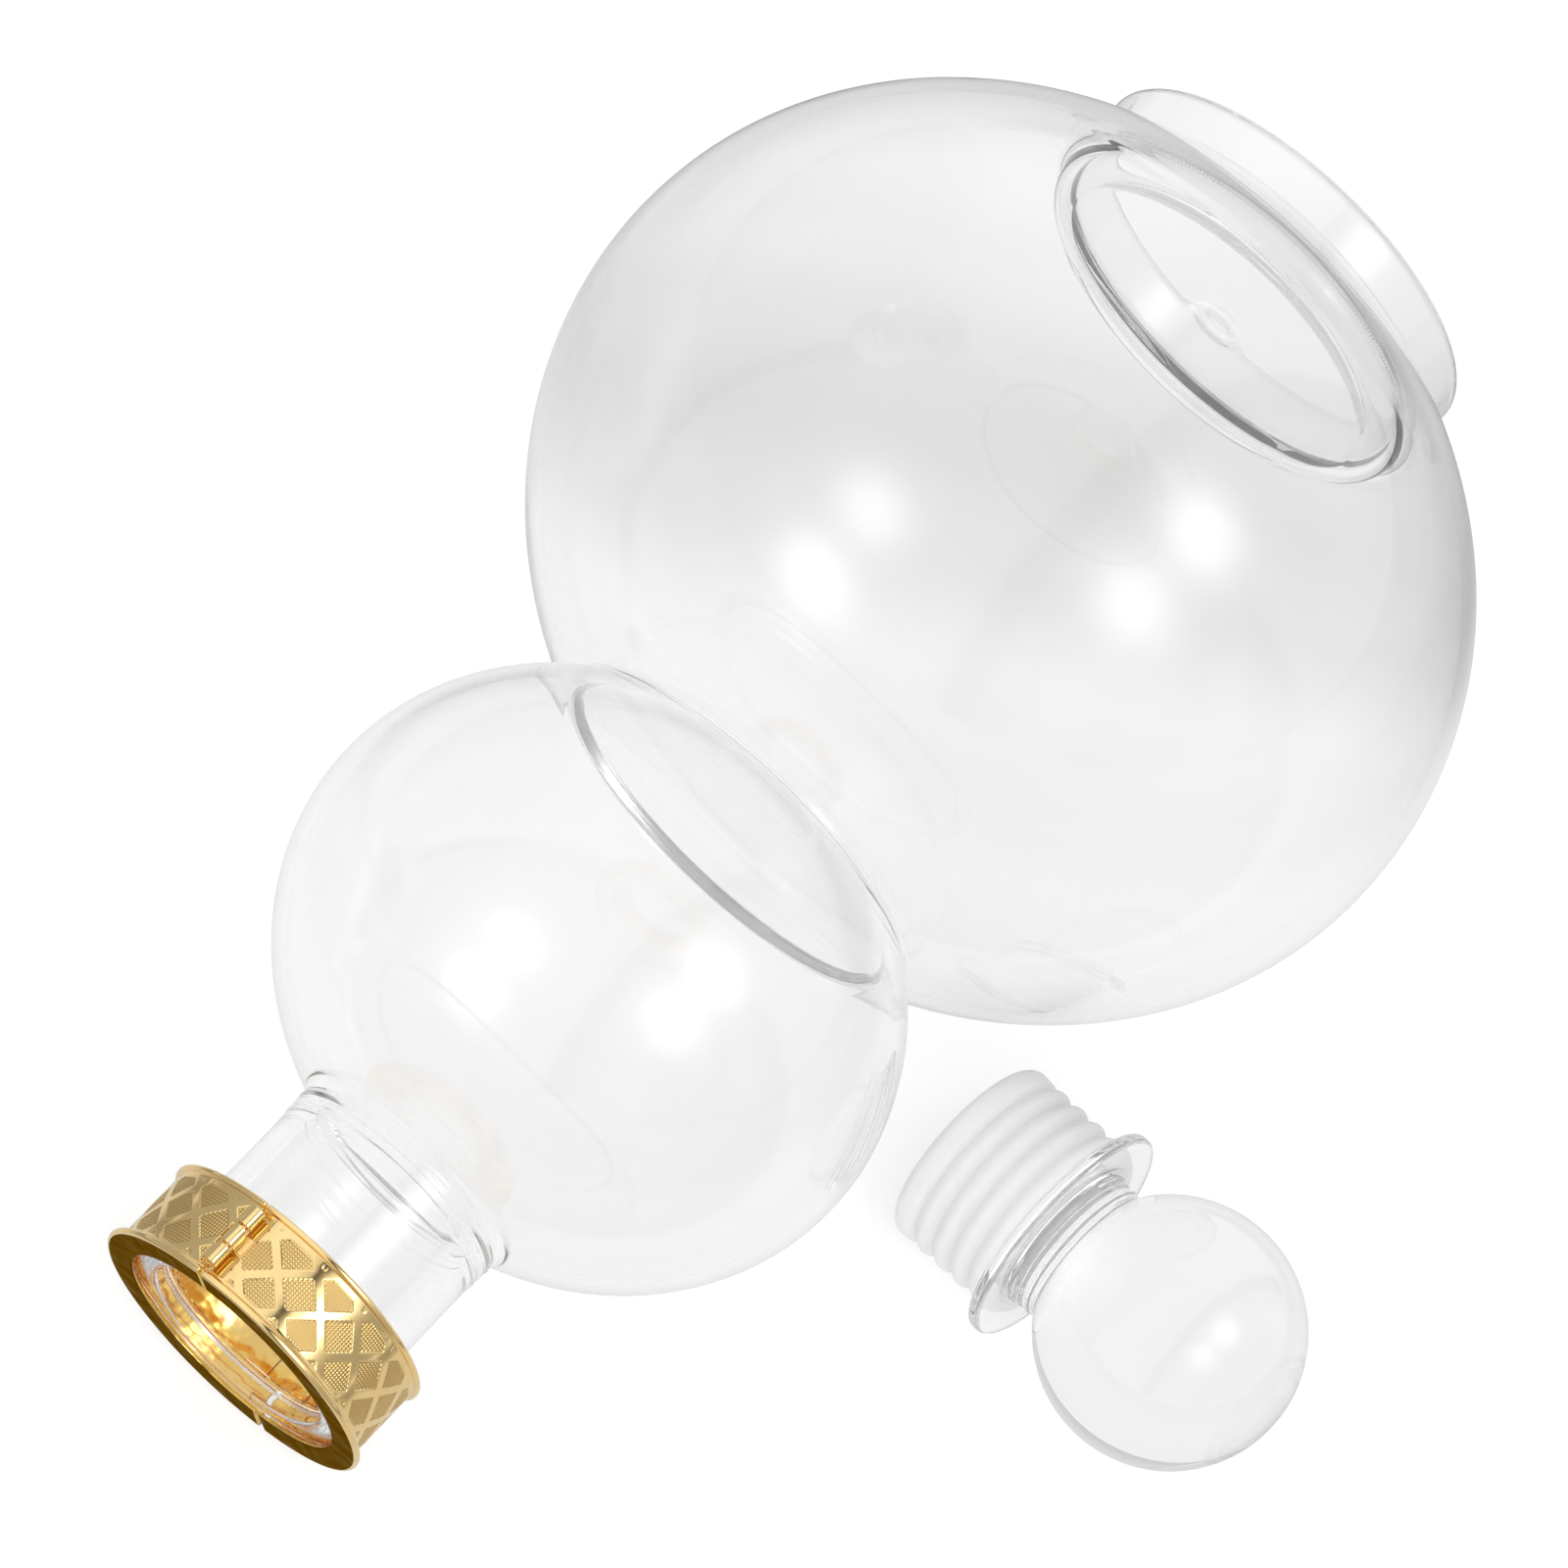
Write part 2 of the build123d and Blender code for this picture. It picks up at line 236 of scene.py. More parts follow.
def bevelled_block(low, high, bevel):
    """Points and faces of a block with rounded edges."""
    mesh = bmesh.new()
    corners = [(x, y, z) for x in (low[0], high[0]) for y in (low[1], high[1]) for z in (low[2], high[2])]
    v = [mesh.verts.new(c) for c in corners]
    for f in ((0, 1, 3, 2), (4, 6, 7, 5), (0, 4, 5, 1), (2, 3, 7, 6), (0, 2, 6, 4), (1, 5, 7, 3)):
        mesh.faces.new([v[i] for i in f])
    bmesh.ops.recalc_face_normals(mesh, faces=mesh.faces)
    bmesh.ops.bevel(mesh, geom=list(mesh.edges), offset=bevel, segments=3, profile=0.5, affect="EDGES")
    mesh.verts.index_update()
    points = [tuple(p.co) for p in mesh.verts]
    faces = [[p.index for p in f.verts] for f in mesh.faces]
    mesh.free()
    return points, faces


# Shader nodes

class Tree:
    """The shader nodes of a material or of the world."""

    def __init__(self, owner):
        owner.use_nodes = True
        self.nodes, self.links = owner.node_tree.nodes, owner.node_tree.links
        self.nodes.clear()

    def add(self, kind, inputs=None, **settings):
        """A node. Each input, by name or number, gets a value or, where an output is given, a link."""
        node = self.nodes.new("ShaderNode" + kind)
        for name, value in settings.items():
            setattr(node, name, value)
        for place, value in (inputs or {}).items():
            if isinstance(value, bpy.types.NodeSocket):
                self.links.new(value, node.inputs[place])
            else:
                node.inputs[place].default_value = value
        return node

    def noise(self, scale, detail, stretch=None):
        """A noise texture in the frame of the part."""
        place = self.add("TexCoord").outputs["Object"]
        if stretch:
            place = self.add("Mapping", {"Vector": place, "Scale": stretch}).outputs["Vector"]
        return self.add("TexNoise", {"Vector": place, "Scale": scale, "Detail": detail}).outputs["Fac"]

    def bump(self, height, strength, distance, under=None):
        """A bump node fed by a height, on top of another bump if one is given."""
        node = self.add("Bump", {"Height": height, "Strength": strength, "Distance": distance})
        if under:
            self.links.new(under, node.inputs["Normal"])
        return node.outputs["Normal"]

    def spread(self, value, low, high):
        """A value between 0 and 1 brought to a range."""
        return self.add("MapRange", {"Value": value, "To Min": low, "To Max": high}).outputs["Result"]

    def along(self, vector, way):
        """How far a vector reaches along a direction."""
        node = self.add("VectorMath", {0: vector, 1: tuple(way)}, operation="DOT_PRODUCT")
        return node.outputs["Value"]

    def worked_out(self, operation, first, second):
        """What an operation makes of two values."""
        return self.add("Math", {0: first, 1: second}, operation=operation).outputs[0]

    def total(self, sockets):
        """Several values added up."""
        result = sockets[0]
        for socket in sockets[1:]:
            result = self.worked_out("ADD", result, socket)
        return result

    def ramp(self, value, limits, stops):
        """A smooth curve of a value between two limits, from pairs of place and height."""
        low, high = limits
        share = self.add("MapRange", {"Value": value, "From Min": low, "From Max": high})
        curve = self.add("ValToRGB", {"Fac": share.outputs["Result"]})
        curve.color_ramp.interpolation = "EASE"
        elements = curve.color_ramp.elements
        while len(elements) < len(stops):
            elements.new(0.5)
        for element, (place, height) in zip(elements, stops):
            element.position = (place - low) / (high - low)
            element.color = (height, height, height, 1)
        return curve.outputs["Color"]

    def choice(self, ray, otherwise, shader):
        """A shader for one kind of ray and another for all the rest."""
        when = self.add("LightPath").outputs[ray]
        return self.add("MixShader", {"Fac": when, 1: otherwise, 2: shader}).outputs["Shader"]


# Materials

GLASS_IOR, RUBBER_IOR = 1.47, 1.41
# Painted shade in the collar's recesses: share of the dark gold that the pressed ground shows
RECESS_SHADE_SHARE = 0.75
# Depths of fine relief: waves in glass, dents and scratches in metal, grain of rubber
WAVE_DEPTH, DENT_DEPTH, SCRATCH_DEPTH, GRAIN_DEPTH = 0.0004, 0.0003, 0.00004, 0.00006
SUBSURFACE_DEPTH = 0.012


def glass(name, ripple, haze, shadow, grey):
    """Clear glass with faint waves, a trace of haze, a grey that grows with depth, and a light shadow."""
    material = bpy.data.materials.new(name)
    tree = Tree(material)
    wipe = tree.noise(scale=160.0, detail=1.0, stretch=(1.0, 0.2, 1.0))
    body = tree.add("BsdfPrincipled", {
        "Base Color": (1, 1, 1, 1),
        "Transmission Weight": 1.0,
        "IOR": GLASS_IOR,
        "Roughness": tree.spread(wipe, 0.0, haze),
        "Normal": tree.bump(tree.noise(scale=30.0, detail=0.0), ripple, WAVE_DEPTH),
    })
    clear = tree.add("BsdfTransparent", {"Color": (shadow, shadow, shadow, 1)})
    depth = tree.add("VolumeAbsorption", {"Color": (0, 0, 0, 1), "Density": grey})
    tree.add("OutputMaterial", {
        "Surface": tree.choice("Is Shadow Ray", body.outputs["BSDF"], clear.outputs["BSDF"]),
        "Volume": depth.outputs["Volume"],
    })
    return material


def gold(name, light, dark, rough, edge=(1, 1, 1), dents=0.1):
    """Polished gold-coloured sheet with fine scratches, shallow dents and painted shade in the pressed
    ground.
    """
    material = bpy.data.materials.new(name)
    tree = Tree(material)
    blot = tree.spread(tree.noise(scale=260.0, detail=4.0), 0.35, 1.15)
    tone = tree.add("Mix", {"A": (*dark, 1), "B": (*light, 1), "Factor": blot}, data_type="RGBA")
    recess = tree.add("Attribute", attribute_name="recess")
    # Painted shade: the pressed ground darkens towards a share of the dark gold
    shaded_ground = tree.add("Mix", {
        "A": tone.outputs["Result"],
        "B": (*(RECESS_SHADE_SHARE * c for c in dark), 1),
        "Factor": recess.outputs["Fac"],
    }, data_type="RGBA")
    streak = tree.noise(scale=900.0, detail=5.0, stretch=(1.0, 1.0, 0.2))
    hollows = tree.bump(tree.noise(scale=420.0, detail=1.0), dents, DENT_DEPTH)
    body = tree.add("BsdfPrincipled", {
        "Metallic": 1.0,
        "Base Color": shaded_ground.outputs["Result"],
        "Specular Tint": (*edge, 1),
        "Roughness": tree.spread(streak, *rough),
        "Normal": tree.bump(streak, strength=0.12, distance=SCRATCH_DEPTH, under=hollows),
    })
    tree.add("OutputMaterial", {"Surface": body.outputs["BSDF"]})
    return material


def silicone(name):
    """Milky translucent rubber with a satin skin."""
    material = bpy.data.materials.new(name)
    tree = Tree(material)
    grain = tree.noise(scale=700.0, detail=5.0)
    body = tree.add("BsdfPrincipled", {
        "Base Color": (0.73, 0.735, 0.735, 1),
        "Subsurface Weight": 1.0,
        "Subsurface Scale": SUBSURFACE_DEPTH,
        "Subsurface Radius": (1.0, 1.0, 1.0),
        "IOR": RUBBER_IOR,
        "Roughness": tree.spread(grain, 0.38, 0.55),
        "Normal": tree.bump(grain, strength=0.15, distance=GRAIN_DEPTH),
    })
    tree.add("OutputMaterial", {"Surface": body.outputs["BSDF"]})
    return material


BOTTLE_GLASS = glass("bottle_glass", ripple=0.2, haze=0.006, shadow=0.96, grey=4.0)
STOPPER_GLASS = glass("stopper_glass", ripple=0.1, haze=0.004, shadow=0.97, grey=3.0)
BALL_GLASS = glass("ball_glass", ripple=0.1, haze=0.10, shadow=0.97, grey=2.0)
COLLAR_GOLD = gold("collar_gold", (0.97, 0.73, 0.35), (0.80, 0.53, 0.19), rough=(0.07, 0.16))
INNER_GOLD = gold("collar_inner_gold", (0.98, 0.68, 0.20), (0.82, 0.50, 0.10), rough=(0.08, 0.20),
                  dents=0.9)
# The front flange's gold is darkened as painted shade: a dark reflection of the shaded floor under the
# mouth
FLANGE_PAINTED_SHADE_GOLD = gold("collar_flange_painted_shade_gold", (0.16, 0.095, 0.022), (0.09, 0.052, 0.012), rough=(0.10, 0.22),
                   edge=(0.52, 0.40, 0.24), dents=0.5)
PIN_GOLD = gold("pin_gold", (0.90, 0.64, 0.26), (0.62, 0.38, 0.12), rough=(0.10, 0.20))
SEAL = silicone("seal_silicone")


# Glass body

MOUTH_ROUND, LIP_ROUND = 0.0008, 0.0008
WAIST_ROUND, NECK_ROUND = 0.00018, 0.0009
# Length over which the wall goes over to the neck's thickness
NECK_BLEND = 0.004
# Rings of fused glass: place past the neck's joint, height and width
FUSED_RINGS = ((0.0004, 0.00042, 0.00055), (0.0018, 0.00030, 0.00042),
               (0.0028, 0.00026, 0.00036), (0.0040, 0.00018, 0.00040))
# How much of them shows on the inside, and how far along they sit there
INNER_RING_SHARE, INNER_RING_SHIFT = 0.5, 0.0005
# Foot: fillets towards the bulb, round of its rim, and where the bulb's profiles stop short of it
FOOT_FILLET, FOOT_STOP, TROUGH_RISE = 0.0009, 0.0007, 0.0006
RIM_ROUND = 0.49 * PUNT_WALL
# Flat dome of the base, with a ring left by the blowing iron in its middle
DOME_RISE, DOME_INSET, DOME_STEP = 0.0010, 0.0002, 0.00002
MARK_R, MARK_WIDTH, MARK_DEPTH = 0.0026, 0.0006, 0.0003
# Ends of the bulb's profiles: shares of the polar radius at the foot, and below the mouth
OUTSIDE_END_SHARE, INSIDE_END_SHARE, INSIDE_END = 0.9999, 0.999, 0.0009
# Heights of the profile: even ones, and more within a reach of its bends
EVEN_HEIGHTS, CROWDED_HEIGHTS, CROWD_REACH, LIP_BEND = 200, 45, 0.004, 0.003
HEIGHT_DIGITS = 7
# Waves of blown glass: share, count round the axis, turn for each metre along it, and phase
WAVES = ((1.0, 3, 60.0, 0.0), (0.6, 5, -110.0, 1.3))
# Their height, the radius from which they grow and how fast, and the lowest place that has them
WAVE_HEIGHT, WAVES_FROM_R, WAVES_FADE, WAVES_ABOVE = 0.00005, 0.0275, 0.006, -0.03


def spheroid_radius(height, middle, radius, polar):
    """Radius of a spheroid at a height, zero outside it."""
    inside = 1 - ((height - middle) / polar) ** 2
    return radius * np.sqrt(np.clip(inside, 0, None))


def soft_max(values, width):
    """Largest of several curves, with a round joint of about a width."""
    values = np.array(values) / width
    top = values.max(axis=0)
    return (top + np.log(np.exp(values - top).sum(axis=0))) * width


def crowded(low, high, places):
    """Heights between two limits, crowded at the given places."""
    even = np.linspace(low, high, EVEN_HEIGHTS)
    near = [place + CROWD_REACH * np.linspace(-1, 1, CROWDED_HEIGHTS) ** 3 for place in places]
    heights = np.unique(np.round(np.concatenate([even, *near]), HEIGHT_DIGITS))
    return heights[(heights >= low) & (heights <= high)]


def fused_rings(heights):
    """Height of the rings of fused glass where the neck was joined to the small bulb."""
    rings = np.zeros_like(heights)
    for place, size, width in FUSED_RINGS:
        rings += size * np.exp(-(((heights - NECK_JOINT - place) / width) ** 2))
    return rings


def gourd_profile(low, high):
    """Outside radii of both bulbs and the neck between two heights, without the fused rings."""
    bends = (-LARGE_POLAR + CROWD_REACH, WAIST, NECK_JOINT, LARGE_POLAR, MOUTH - LIP_BEND)
    heights = crowded(low, high, bends)
    large = spheroid_radius(heights, 0, LARGE_R, LARGE_POLAR)
    small = spheroid_radius(heights, BULB_SPACING, SMALL_R, SMALL_POLAR)
    neck = np.where(heights > BULB_SPACING, NECK_R, 0)
    bulbs = soft_max([large, small], WAIST_ROUND)
    return np.c_[soft_max([bulbs, neck], NECK_ROUND), heights]


def offset_inwards(profile):
    """The inside of the wall: the outside moved along its own normal, so that the wall is even."""
    along = np.gradient(profile, axis=0)
    along /= np.linalg.norm(along, axis=1)[:, None]
    outwards = np.c_[along[:, 1], -along[:, 0]]
    in_neck = np.clip((profile[:, 1] - NECK_JOINT) / NECK_BLEND, 0, 1)
    wall = WALL + (NECK_R - NECK_BORE_R - WALL) * in_neck
    inside = profile - outwards * wall[:, None]
    inside[:, 0] -= INNER_RING_SHARE * fused_rings(inside[:, 1] - INNER_RING_SHIFT)
    keep = np.concatenate([[True], np.diff(np.maximum.accumulate(inside[:, 1])) > TOUCH])
    return inside[keep]


def base_faces(edge, roof):
    """Under side of the pushed-up base from its edge to the axis, and its upper side back."""
    turn = np.linspace(0, 1, 26)
    under = np.c_[(edge - DOME_INSET) * (1 - turn), roof - DOME_RISE * (1 - (1 - turn) ** 2) - DOME_STEP]
    mark = MARK_DEPTH * np.exp(-(((under[:, 0] - MARK_R) / MARK_WIDTH) ** 2))
    over = np.c_[under[::-1, 0], under[::-1, 1] + PUNT_WALL - mark[::-1]]
    return under, over


def bottle_section():
    """Closed profile of the glass: lip, outside down to the foot, base, and the inside back up."""
    lip_low = MOUTH - LIP_THICKNESS
    body = gourd_profile(-LARGE_POLAR * OUTSIDE_END_SHARE, lip_low - LIP_ROUND)
    outside = body + np.c_[fused_rings(body[:, 1]), np.zeros(len(body))]
    outside = outside[(body[:, 0] > FOOT_R + FOOT_STOP) | (body[:, 1] > 0)][::-1]
    foot_top = outside[-1][1]
    inner = offset_inwards(gourd_profile(-LARGE_POLAR * INSIDE_END_SHARE, MOUTH - INSIDE_END))
    inner = inner[(inner[:, 0] > FOOT_R + FOOT_FILLET) | (inner[:, 1] > 0)]
    trough = inner[0][1]
    punt_r = FOOT_R - PUNT_WALL
    punt_edge = punt_r - PUNT_ROUND
    roof = -FOOT + PUNT_DEPTH
    under, over = base_faces(punt_edge, roof)
    return np.concatenate([
        arc((NECK_BORE_R + MOUTH_ROUND, MOUTH - MOUTH_ROUND), MOUTH_ROUND, 180, 90, 8),
        arc((LIP_R - LIP_ROUND, MOUTH - LIP_ROUND), LIP_ROUND, 90, 0, 9),
        arc((LIP_R - LIP_ROUND, lip_low + LIP_ROUND), LIP_ROUND, 0, -90, 9),
        arc((NECK_R + LIP_ROUND, lip_low - LIP_ROUND), LIP_ROUND, 90, 180, 9),
        outside,
        arc((FOOT_R + FOOT_FILLET, foot_top - FOOT_FILLET), FOOT_FILLET, 110, 180, 7),
        arc((FOOT_R - RIM_ROUND, -FOOT + RIM_ROUND), RIM_ROUND, 0, -90, 12),
        arc((punt_r + RIM_ROUND, -FOOT + RIM_ROUND), RIM_ROUND, -90, -180, 12),
        arc((punt_edge, roof - PUNT_ROUND), PUNT_ROUND, 0, 90, 16),
        under,
        over,
        arc((punt_edge, roof - PUNT_ROUND), PUNT_ROUND + PUNT_WALL, 90, 0, 20),
        arc((FOOT_R + FOOT_FILLET, trough + TROUGH_RISE), FOOT_FILLET, 180, 300, 8),
        inner[1:],
    ])


def blown_waves(angles, radius, height):
    """Unevenness of blown glass: slow waves round the axis, none on the foot, the neck and the lip."""
    if radius < WAVES_FROM_R or height < WAVES_ABOVE:
        return 0 * angles
    fade = min(1.0, (radius - WAVES_FROM_R) / WAVES_FADE)
    waves = [share * np.sin(count * angles + turn * height + phase) for share, count, turn, phase in WAVES]
    return fade * WAVE_HEIGHT * sum(waves)


BOTTLE_FRAME = frame_matrix(BULB, AXIS, HINGE_SIDE)
BOTTLE_SEGMENTS = 288
bottle = lathe("blown_bottle", bottle_section(), BOTTLE_FRAME, BOTTLE_GLASS, BOTTLE_SEGMENTS, blown_waves)
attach(bottle, "bottle")
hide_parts("glass_body")


# Collar

# Pressed diamonds: their size, where they start, and the rows of dots in each
DIAMONDS = 17
DIAMOND_ROUND = 2 * pi * BAND_R / DIAMONDS
DIAMOND_TALL, DIAMOND_PHASE, DIAMOND_SHIFT = 0.0059, -0.00918, 0.00025
DIAMOND_MIDDLE = (COLLAR_FRONT + COLLAR_REAR) / 2 - DIAMOND_SHIFT
DOTS_ROUND, DOTS_TALL = 17, 16
# Cells of the mesh along each dot, and the least share of one at the ends of the band
CELLS_PER_DOT, LEAST_CELL_SHARE = 4, 0.2
STRIP_HALF, STRIP_SLOPE, STRIP_DEPTH = 0.00048, 0.00010, 0.00002
GROUND_DEPTH, DOT_HEIGHT = 0.00016, 0.00015
# The pattern fades out towards the beads
PATTERN_LOW, PATTERN_HIGH, PATTERN_FADE = COLLAR_REAR + 0.0012, COLLAR_FRONT - 0.0013, 0.0004
# Painted shade of the pressed ground: it starts at this depth below the band and grows to full over this
# further depth
RECESS_FROM, RECESS_OVER = 0.00003, 0.00012

# Bent sheet: rows of points on its flanges, ends of the band, and hollows between band and beads
FRONT_EDGE_ROWS, FLANGE_CHAMFER = (0, 0.0001, 0.00025), 0.00012
FRONT_ROWS, FRONT_ROWS_FROM, FRONT_ROWS_TO = 8, 0.0006, 0.0001
REAR_ROWS, REAR_ROWS_FROM, REAR_ROWS_TO = 6, 0.0002, 0.0003
BAND_LOW, BAND_HIGH = COLLAR_REAR + 0.001198, COLLAR_FRONT - 0.001306
FRONT_HOLLOW_SHIFT, REAR_HOLLOW_SHIFT = 0.00004, 0.00002
# The inside of the band is plain, so one row of points there serves this many outside
ROWS_PER_INNER = 16
# Material slots of the collar's faces; the front flange's slot takes gold darkened as painted shade
OUTSIDE, INSIDE, PAINTED_SHADE_FRONT_FACE = 0, 1, 2

# Hinge: knuckles along the band between two margins, and sunk windows for those of the other half
FRONT_MARGIN, REAR_MARGIN = 0.0014, 0.0012
KNUCKLES_LOW = COLLAR_REAR + REAR_MARGIN + KNUCKLE_GAP
KNUCKLES_HIGH = COLLAR_FRONT - FRONT_MARGIN - KNUCKLE_GAP
KNUCKLE_LENGTH = (KNUCKLES_HIGH - KNUCKLES_LOW - 2 * KNUCKLE_GAP) / 3
KNUCKLES = [KNUCKLES_LOW + i * (KNUCKLE_LENGTH + KNUCKLE_GAP) for i in range(3)]
WINDOW_MARGIN, WINDOW_DEPTH = 0.0009, 0.00036
WINDOW_EDGE = (KNUCKLE_R + WINDOW_MARGIN) / BAND_R
HINGE_EDGE = HINGE_SIDE_GAP / 2 / BAND_R
OPENING_EDGE = OPENING_GAP / 2 / BAND_R
KNUCKLE_ROUND, KNUCKLE_BORE_ROUND, KNUCKLE_HOLLOW, KNUCKLE_LAND = 0.00014, 0.00008, 0.00004, 0.0005
# Leaves of a knuckle: radii from and to, reach beside the hinge line, inset at the ends, and edge round
LEAVES = (
    (BAND_R - 0.6 * SHEET, HINGE_R + 0.0002, KNUCKLE_R, 0.00003, 0.00006),
    (BAND_R - 0.5 * SHEET, BAND_R + 0.00018, KNUCKLE_R + 0.00075, 0.00012, 0.00007),
)
PIN_ROUND = 0.00022
KNUCKLE_SEGMENTS, PIN_SEGMENTS = 40, 32

# Tongue: reach past both sides of the opening, faces below the channel's radius, and shape
TONGUE_REACH_BACK, TONGUE_REACH_ON = 0.0024, 0.0032
TONGUE_OUTER_R, TONGUE_INNER_R = CHANNEL_R - 0.00005, CHANNEL_R - 0.00045
TONGUE_HALF, TONGUE_ROUND = 0.0025, 0.00016
TONGUE_TAPER, TONGUE_END_SHARE, TONGUE_STEPS = 0.02, 0.86, 30


def band_relief(angle, height):
    """How far the pattern lies below the band: strips crossing in diamonds, and fields of fine dots."""
    round_place = angle * BAND_R - DIAMOND_PHASE
    tall_place = height - DIAMOND_MIDDLE - DIAMOND_TALL / 2
    slant = DIAMOND_ROUND * DIAMOND_TALL / hypot(DIAMOND_ROUND, DIAMOND_TALL)
    turns = [round_place / DIAMOND_ROUND + way * tall_place / DIAMOND_TALL for way in (1, -1)]
    near = np.minimum(*(np.abs(turn - np.round(turn)) * slant for turn in turns))
    field = np.clip((near - STRIP_HALF) / STRIP_SLOPE, 0, 1)
    field = field * field * (3 - 2 * field)
    dot_round = np.cos(2 * pi * round_place * DOTS_ROUND / DIAMOND_ROUND)
    dot_tall = np.cos(2 * pi * tall_place * DOTS_TALL / DIAMOND_TALL)
    dots = (0.5 + 0.5 * dot_round) * (0.5 + 0.5 * dot_tall)
    to_edge = np.minimum(height - PATTERN_LOW, PATTERN_HIGH - height)
    calm = np.clip(to_edge / PATTERN_FADE, 0, 1)
    return calm * (field * (GROUND_DEPTH - DOT_HEIGHT * dots) + (1 - field) * STRIP_DEPTH)


def collar_rows():
    """Rows of the bent sheet from front flange to rear flange, each with its place outside and inside."""
    front, rear = COLLAR_FRONT - SHEET, COLLAR_REAR + SHEET
    rows = []
    for r in FRONT_EDGE_ROWS:
        chamfer = 0 if r else FLANGE_CHAMFER
        rows.append(((FRONT_FLANGE_R + r, COLLAR_FRONT - chamfer), (FRONT_FLANGE_R + r, front)))
    bead_r = FRONT_RIM_R - FRONT_BEAD
    for r in np.linspace(FRONT_FLANGE_R + FRONT_ROWS_FROM, bead_r - FRONT_ROWS_TO, FRONT_ROWS):
        rows.append(((r, COLLAR_FRONT), (min(r, CHANNEL_R), front)))
    hollow = bead_r - BAND_R
    bead = arc((bead_r, COLLAR_FRONT - FRONT_BEAD), FRONT_BEAD, 90, -90, 20)
    fillet = arc((bead_r, COLLAR_FRONT - 2 * FRONT_BEAD - hollow), hollow, 100, 175, 8)
    for r, s in np.concatenate([bead, fillet + [0, FRONT_HOLLOW_SHIFT]]):
        rows.append(((r, s), (CHANNEL_R, front)))

    count = int((BAND_HIGH - BAND_LOW) / (DIAMOND_TALL / DOTS_TALL / CELLS_PER_DOT))
    band = np.linspace(BAND_HIGH, BAND_LOW, count)[1:-1]
    for place, s in enumerate(band):
        rows.append(((BAND_R, s), (CHANNEL_R, band[place - place % ROWS_PER_INNER])))

    bead_r = REAR_RIM_R - REAR_BEAD
    hollow = bead_r - BAND_R
    fillet = arc((bead_r, COLLAR_REAR + 2 * REAR_BEAD + hollow), hollow, -175, -100, 6)
    bead = arc((bead_r, COLLAR_REAR + REAR_BEAD), REAR_BEAD, 90, -90, 18)
    for r, s in np.concatenate([fillet - [0, REAR_HOLLOW_SHIFT], bead]):
        rows.append(((r, s), (CHANNEL_R, rear)))
    for r in np.linspace(bead_r - REAR_ROWS_FROM, REAR_FLANGE_R + REAR_ROWS_TO, REAR_ROWS):
        rows.append(((r, COLLAR_REAR), (min(r, CHANNEL_R), rear)))
    rows.append(((REAR_FLANGE_R, COLLAR_REAR + FLANGE_CHAMFER), (REAR_FLANGE_R, rear)))
    return np.array(rows)


def cell_angles(start, end):
    """Angles between two ends of the band, in steps that fall alike on every dot."""
    step = DIAMOND_ROUND / BAND_R / (CELLS_PER_DOT * DOTS_ROUND)
    phase = DIAMOND_PHASE / BAND_R
    first = int(np.ceil((start - phase) / step + LEAST_CELL_SHARE))
    last = int(np.floor((end - phase) / step - LEAST_CELL_SHARE))
    return np.concatenate([[start], phase + step * np.arange(first, last + 1), [end]])


def collar_band(pile, start, end, windows):
    """Sheet of one half between two angles, sunk at the hinge where the other half has its knuckles."""
    rows = collar_rows()
    angles = cell_angles(start, end)
    outer = np.repeat(rows[:, None, 0, :], len(angles), axis=1)
    inner = np.repeat(rows[:, None, 1, :], len(angles), axis=1)
    grid = np.repeat(angles[None, :], len(rows), axis=0)
    depth = band_relief(grid, outer[:, :, 1])
    for low in windows:
        high = low + KNUCKLE_LENGTH
        beside = (outer[:, :, 1] > low - KNUCKLE_GAP) & (outer[:, :, 1] < high + KNUCKLE_GAP)
        depth[beside & (np.abs(grid) < WINDOW_EDGE)] = WINDOW_DEPTH
    depth[~np.isclose(rows[:, 0, 0], BAND_R)] = 0
    outer[:, :, 0] -= depth
    # Painted shade in the recesses, by how deep the ground and the windows are sunk
    recess = np.clip((depth - RECESS_FROM) / RECESS_OVER, 0, 1).ravel()
    points = [on_cylinder(side[..., 0], grid, side[..., 1]).reshape(-1, 3) for side in (outer, inner)]

    index = np.arange(grid.size).reshape(grid.shape)
    quads = [index[:-1, :-1], index[1:, :-1], index[1:, 1:], index[:-1, 1:]]
    outside = np.stack(quads, -1).reshape(-1, 4)
    slots = np.full(index[:-1, :-1].shape, OUTSIDE)
    # The front flange's rows take the gold darkened as painted shade
    slots[:len(FRONT_EDGE_ROWS) + FRONT_ROWS] = PAINTED_SHADE_FRONT_FACE
    faces = [outside, outside[:, ::-1] + grid.size]
    for edge, flip in ((index[:, 0], False), (index[:, -1], True), (index[0], True), (index[-1], False)):
        quad = np.c_[edge[:-1], edge[:-1] + grid.size, edge[1:] + grid.size, edge[1:]]
        faces.append(quad[:, ::-1] if flip else quad)
    faces = np.concatenate(faces)
    slots = np.concatenate([slots.ravel(), np.full(len(faces) - slots.size, INSIDE)])
    pile.add(np.concatenate(points), faces, slots, np.concatenate([recess, 0 * recess]))


